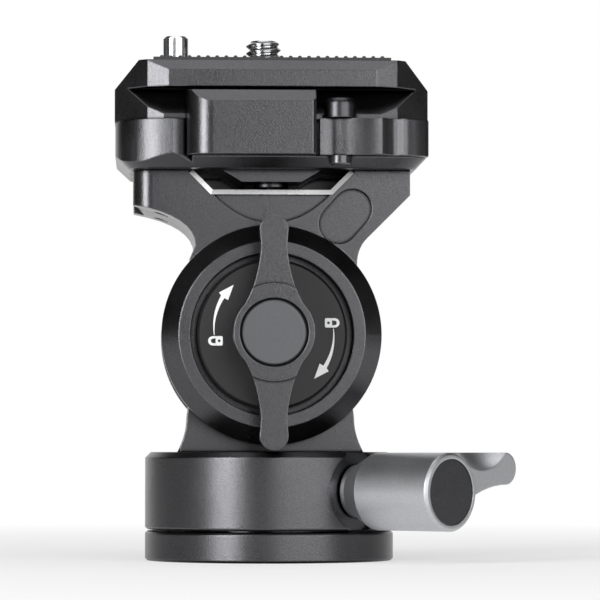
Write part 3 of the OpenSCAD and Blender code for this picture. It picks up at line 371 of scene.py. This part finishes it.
LOCK = np.array([-9.20, -1.17])
LOCK_HALF_WIDE, LOCK_HALF_HIGH, KEYHOLE_R = 0.62, 0.82, 0.24
FOOT_X = -0.50
OUTER_BEND_X, OUTER_R = -1.10, 0.82
INNER_BEND_X, INNER_R, INNER_FOOT = -1.03, 0.40, 0.43


def padlock_bow():
    """A bent band: an outer half circle and an inner one, each led on to feet at the lock's body."""
    outer = np.vstack([(FOOT_X, OUTER_R), arc(OUTER_R, 90, 270, 12, (OUTER_BEND_X, 0)), (FOOT_X, -OUTER_R)])
    inner = np.vstack([(FOOT_X, -INNER_FOOT), arc(INNER_R, 270, 90, 10, (INNER_BEND_X, 0)),
                       (FOOT_X, INNER_FOOT)])
    return LOCK + np.vstack([outer, inner])


def padlock_body(flip, steps=32, squareness=8):
    """A ring between a round keyhole and a rounded square, where |x / w|^8 + |z / h|^8 = 1."""
    a = np.linspace(0, 2 * math.pi, steps + 1)[:-1]
    c, s = np.cos(a), np.sin(a)
    bulge = np.abs(c / LOCK_HALF_WIDE) ** squareness + np.abs(s / LOCK_HALF_HIGH) ** squareness
    square = bulge ** (-1 / squareness)
    hole = np.full_like(a, KEYHOLE_R)
    rings = []
    for reach, y in ((hole, DIAL_FACE - INK), (hole, DIAL_FACE + INK),
                     (square, DIAL_FACE + INK), (square, DIAL_FACE - INK)):
        flat = turned_about(LOCK + np.column_stack([reach * c, reach * s]), flip) * MM
        rings.append(np.column_stack([flat[:, 0], np.full(len(a), y), flat[:, 1] + TILT_AXIS[2]]))
    return np.vstack(rings), grid_faces(4, len(a), wrap_rows=True, wrap_columns=True)


for side_name, flip in (("left", False), ("right", True)):
    ink_solid(f"arrow_mark_{side_name}", turned_about(arrow_outline(), flip))
    ink_solid(f"padlock_bow_mark_{side_name}", turned_about(padlock_bow(), flip))
    points, faces = padlock_body(flip)
    mesh_object(f"padlock_body_mark_{side_name}", points, faces, mark_ink, "pan", False)
print("marks printed: 2 arrows, 2 padlocks")

# %% [markdown]
# ## The camera screw
# A quarter-inch screw with 20 threads to the inch: one turn of thread rises 1.27 mm. The thread is a
# surface whose radius depends on both height and angle, so it is one grid: going once round adds one
# turn's rise. The shank below the plate is thinner, and it ends in a wide flat head inside the plate.

# %% Cut the thread and turn the head
THREAD_RISE = 25.4 / 20 * MM
SCREW_X = -1.0 * MM
PLATE_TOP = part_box("camera_plate")[1][2]
SCREW_LOW, SCREW_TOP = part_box("camera_screw")[0][2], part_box("camera_screw")[1][2]
MAJOR, MINOR, SHANK, HEAD_R, HEAD_H = 3.15 * MM, 2.55 * MM, 2.74 * MM, 6.92 * MM, 1.8 * MM
HEAD_EDGE = 0.3 * MM
SHANK_TOP, THREAD_LOW = PLATE_TOP - 0.5 * MM, PLATE_TOP - 0.4 * MM
FLANK, ROOT = 2.6, 0.25
LEAD_LOW, LEAD_TOP, END_DROP = 0.5 * MM, 0.55 * MM, 0.25 * MM


def thread_grid(low, top, steps_up=120, steps_round=72):
    """Radius over a (height, angle) grid: minor + depth x tooth of the thread phase. The tooth rises
    from a flat root, FLANK times as fast as the phase, to a flat top, and fades out at both ends."""
    z = np.linspace(low, top, steps_up)[:, None]
    a = np.linspace(0, 2 * math.pi, steps_round + 1)[None, :-1]
    phase = (z / THREAD_RISE - a / (2 * math.pi)) % 1.0
    tooth = np.clip((0.5 - np.abs(phase - 0.5)) * FLANK - ROOT, 0, 1)
    fade_low = np.clip((z - low) / LEAD_LOW, 0, 1)
    fade_top = np.clip((top - z) / LEAD_TOP, 0, 1)
    radius = MINOR + (MAJOR - MINOR) * tooth * fade_low * fade_top - END_DROP * (1 - fade_top)
    return radius, z + 0 * a, a + 0 * z


def fan(tip, ring):
    """Triangles from each side of a ring of points to its tip, which close a pole."""
    return np.column_stack([ring, np.roll(ring, -1), np.full(len(ring), tip)])


radius, height, angle = thread_grid(THREAD_LOW, SCREW_TOP)
stem = np.array([[HEAD_R - HEAD_EDGE, SCREW_LOW], [HEAD_R, SCREW_LOW + HEAD_EDGE],
                 [HEAD_R, SCREW_LOW + HEAD_H], [SHANK, SCREW_LOW + HEAD_H], [SHANK, SHANK_TOP]])
count_round = radius.shape[1]
radius = np.vstack([np.repeat(stem[:, :1], count_round, 1), radius])
height = np.vstack([np.repeat(stem[:, 1:], count_round, 1), height])
angle = np.repeat(angle[:1], len(radius), 0)
points = np.stack([SCREW_X + radius * np.cos(angle), radius * np.sin(angle), height], axis=-1).reshape(-1, 3)
poles = [(SCREW_X, 0, SCREW_LOW), (SCREW_X, 0, SCREW_TOP)]
ring = np.arange(count_round)
faces = (grid_faces(*radius.shape, wrap_columns=True).tolist() + fan(len(points), ring[::-1]).tolist()
         + fan(len(points) + 1, ring + len(points) - count_round).tolist())
screw = mesh_object("camera_screw_threaded", np.vstack([points, poles]), faces, bright_steel,
                    "camera_screw")
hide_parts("camera_screw")
print("screw grid:", radius.shape)

# %% [markdown]
# ## The bright line along the bracket's channel
# After anodising, the front edge of the channel is cut once more, which leaves a line of bare shining
# aluminium. A chamfer is in the solid; a strip that leans back by 10 degrees lies over it, as that is
# the slope at which it mirrors the lamps. Such a cut is smooth: its waves are a thousandth of a
# millimetre deep and more than a centimetre long.

# %% Lay the bare metal on the chamfer
CHAMFER = 0.8 * MM
FRONT = -13.2 * MM
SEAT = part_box("bracket")[1][2]
PROUD, LEAN = 0.03 * MM, math.tan(math.radians(10))
CHANNEL_HALF, CHANNEL_DEEP = 10.3 * MM, 3.5 * MM
SHARPEST = 0.5
bare_metal = turned_metal("bare_cut_aluminium", "#dcdcdc", 0.30, ring=12.57 * MM, depth=0.001 * MM)


def leaning_strip(path):
    """A three-cornered bar along a path: behind the channel's line, on that line, and out on the face.
    At a bend, the offset follows the sum of both normals, so that the bar keeps its width."""
    path = np.asarray(path)
    run = np.diff(path, axis=0)
    normal = np.column_stack([run[:, 1], -run[:, 0]]) / np.linalg.norm(run, axis=1)[:, None]
    joint = np.vstack([normal[:1], normal[:-1] + normal[1:], normal[-1:]])
    along = (joint * np.vstack([normal[:1], normal[1:], normal[-1:]])).sum(1)
    joint /= np.maximum(along, SHARPEST)[:, None]
    rows = []
    for into_face, behind_face in ((-PROUD, CHAMFER), (-PROUD, CHAMFER * LEAN), (CHAMFER, -PROUD)):
        flat = path + joint * into_face
        rows.append(np.column_stack([flat[:, 0], np.full(len(path), FRONT + behind_face), flat[:, 1]]))
    points = np.stack(rows, axis=1).reshape(-1, 3)
    ends = [[2, 1, 0], [len(points) - 3, len(points) - 2, len(points) - 1]]
    return points, grid_faces(len(path), 3, wrap_columns=True).tolist() + ends


wall_top = CHANNEL_HALF + CHANNEL_DEEP
edge_path = np.array([[-wall_top, SEAT], [-CHANNEL_HALF, SEAT - CHANNEL_DEEP],
                      [CHANNEL_HALF, SEAT - CHANNEL_DEEP], [wall_top, SEAT]])
points, faces = leaning_strip(edge_path)
mesh_object("channel_edge_bare", points, faces, bare_metal, "tilt", False)
print("bare edge length: %.1f mm" % (np.linalg.norm(np.diff(edge_path, axis=0), axis=1).sum() / MM))

# %% [markdown]
# ## The camera
# The picture was taken from about 0.6 m with a long lens, a little to the left of straight ahead and
# a little from below. The camera stands a few millimetres to the right of the line through the pan
# axis, so that the head and its side lever together are in the middle of the picture.

# %% Set the camera
CAMERA_AZIMUTH = math.radians(-2.5)
CAMERA_UPWARD = math.radians(2.56)
DISTANCE, TO_THE_RIGHT, CAMERA_HEIGHT = 605 * MM, 5.51 * MM, 19.1 * MM
LENS_MM, FILM_MM = 204, 36
camera = bpy.data.objects.new("camera", bpy.data.cameras.new("camera"))
bpy.context.scene.collection.objects.link(camera)
side = np.array([math.cos(CAMERA_AZIMUTH), math.sin(CAMERA_AZIMUTH), 0.0])
back = np.array([math.sin(CAMERA_AZIMUTH), -math.cos(CAMERA_AZIMUTH), 0.0])
camera.location = TO_THE_RIGHT * side + DISTANCE * back + np.array([0, 0, CAMERA_HEIGHT])
camera.rotation_euler = (math.pi / 2 + CAMERA_UPWARD, 0, CAMERA_AZIMUTH)
camera.data.lens = LENS_MM
camera.data.sensor_width = FILM_MM
camera.data.clip_start = 0.01
bpy.context.scene.camera = camera
print("camera stands at", [round(v, 4) for v in camera.location])

# %% [markdown]
# ## The lamps
# Black metal shows little but what it mirrors, so the lamps are soft boxes whose faces are seen in it.
# A bright tall one to the left draws the line of light down each round part, a wide one in front fills
# the flat faces, two narrow ones stand to the right, and one hangs above.

# %% Set the lamps
MIDDLE = Vector((0, 0, 0.05))


def soft_box(name, place, size, glow):
    """A rectangular lamp of a size (width, height) at a place, turned to the middle of the object.
    Its power is glow x pi x area, so that glow is how bright its face looks beside a white of 1."""
    data = bpy.data.lights.new(name, "AREA")
    data.shape = "RECTANGLE"
    data.size, data.size_y = size
    data.energy = glow * math.pi * size[0] * size[1]
    lamp = bpy.data.objects.new(name, data)
    bpy.context.scene.collection.objects.link(lamp)
    lamp.location = place
    lamp.rotation_euler = (MIDDLE - Vector(place)).to_track_quat("-Z", "Y").to_euler()
    return lamp


# Each row: name, degrees from straight ahead to the right, height, distance, size and glow
AROUND = [("front_box", 26, 0.26, 0.95, (0.80, 0.60), 3.2),
          ("left_box", -42, 0.12, 0.75, (0.32, 0.70), 11.0),
          ("right_box", 50, 0.12, 0.75, (0.14, 0.60), 2.6),
          ("right_strip", 84, 0.12, 0.60, (0.10, 0.55), 0.3)]
for name, degrees, height, distance, size, glow in AROUND:
    turn = math.radians(degrees)
    soft_box(name, (distance * math.sin(turn), -distance * math.cos(turn), height), size, glow)
soft_box("top_box", (0.0, -0.05, 0.6), (0.5, 0.5), 1.7)
print("lamps:", len(bpy.data.lights))

# %% [markdown]
# ## The white room
# The camera sees plain white all round. The object is lit by that white only from behind, and hardly
# at all from in front, as in a studio where the backdrop alone is lit, and its metal mirrors the same.
# Y of a direction is 1 straight behind the object, so the white is full above 0.97 and dim below 0.7.

# %% Set the world: white behind the object, dim in front of it
DIM_BELOW, WHITE_ABOVE, DIM, BRIGHT = 0.7, 0.97, 0.01, 0.95
WHITE = linear("#ffffff")
world = bpy.data.worlds.new("studio")
bpy.context.scene.world = world
world.use_nodes = True
sky = world.node_tree
sky.nodes.clear()
way = add(sky, "SeparateXYZ", links={"Vector": add(sky, "TexCoord").outputs["Generated"]})
behind = add(sky, "MapRange", {"From Min": DIM_BELOW, "From Max": WHITE_ABOVE, "To Min": DIM,
                               "To Max": BRIGHT}, {"Value": way.outputs["Y"]})
ray = add(sky, "LightPath")
clear = add(sky, "Math", {"operation": "MAXIMUM"},
            {0: ray.outputs["Is Camera Ray"], 1: ray.outputs["Is Transmission Ray"]})
mirrored = add(sky, "Math", {"operation": "MULTIPLY"},
               {0: ray.outputs["Is Glossy Ray"], 1: behind.outputs["Result"]})
seen = add(sky, "Math", {"operation": "MAXIMUM"}, {0: clear.outputs["Value"], 1: mirrored.outputs["Value"]})
room = add(sky, "Background", {"Color": WHITE}, {"Strength": behind.outputs["Result"]})
white = add(sky, "Background", {"Color": WHITE, "Strength": 1.0})
both = add(sky, "MixShader", links={0: seen.outputs["Value"], 1: room.outputs[0], 2: white.outputs[0]})
sky.links.new(both.outputs[0], add(sky, "OutputWorld").inputs["Surface"])
print("world:", world.name)

# %% [markdown]
# ## The floor
# The head stands on a sheet of matt painted board. The paint keeps the object's shadow near it, and
# from 5 cm to 30 cm away it fades into the white of the room, so that no horizon shows.

# %% Lay the pale floor
HALF_FLOOR = 3.0
SHADOW_TO, WHITE_FROM, NEAR_GLOW = 0.05, 0.30, 0.55
floor_mesh = bpy.data.meshes.new("floor")
corners = [(-HALF_FLOOR, -HALF_FLOOR, 0), (HALF_FLOOR, -HALF_FLOOR, 0),
           (HALF_FLOOR, HALF_FLOOR, 0), (-HALF_FLOOR, HALF_FLOOR, 0)]
floor_mesh.from_pydata(corners, [], [(0, 1, 2, 3)])
floor = bpy.data.objects.new("floor", floor_mesh)
bpy.context.scene.collection.objects.link(floor)
floor_paint, tree, place = new_material("pale_floor_paint")
grain = add(tree, "TexNoise", {"Scale": 6.0}, {"Vector": place})
pale = add(tree, "Mix", {"data_type": "RGBA", 6: linear("#f4f4f4"), 7: linear("#fafafa")},
           {0: grain.outputs["Fac"]})
matt = add(tree, "BsdfPrincipled", {"Roughness": 0.9}, {"Base Color": pale.outputs[2]})
glow = add(tree, "Emission", {"Color": WHITE, "Strength": 1.0})
eye = add(tree, "LightPath")
away = add(tree, "VectorMath", {"operation": "LENGTH"}, {0: place})
open_floor = add(tree, "MapRange", {"From Min": SHADOW_TO, "From Max": WHITE_FROM,
                                    "To Min": NEAR_GLOW, "To Max": 1.0}, {"Value": away.outputs["Value"]})
direct = add(tree, "Math", {"operation": "MAXIMUM"},
             {0: eye.outputs["Is Camera Ray"], 1: eye.outputs["Is Transmission Ray"]})
seen = add(tree, "Math", {"operation": "MAXIMUM"},
           {0: direct.outputs["Value"], 1: eye.outputs["Is Glossy Ray"]})
share = add(tree, "Math", {"operation": "MULTIPLY"},
            {0: seen.outputs["Value"], 1: open_floor.outputs["Result"]})
mixed = add(tree, "MixShader", {}, {0: share.outputs["Value"], 1: matt.outputs[0], 2: glow.outputs[0]})
finish_material(tree, mixed)
floor_mesh.materials.append(floor_paint)
bpy.context.scene.view_settings.view_transform = "Standard"
print("floor: %.0f m wide" % (2 * HALF_FLOOR))
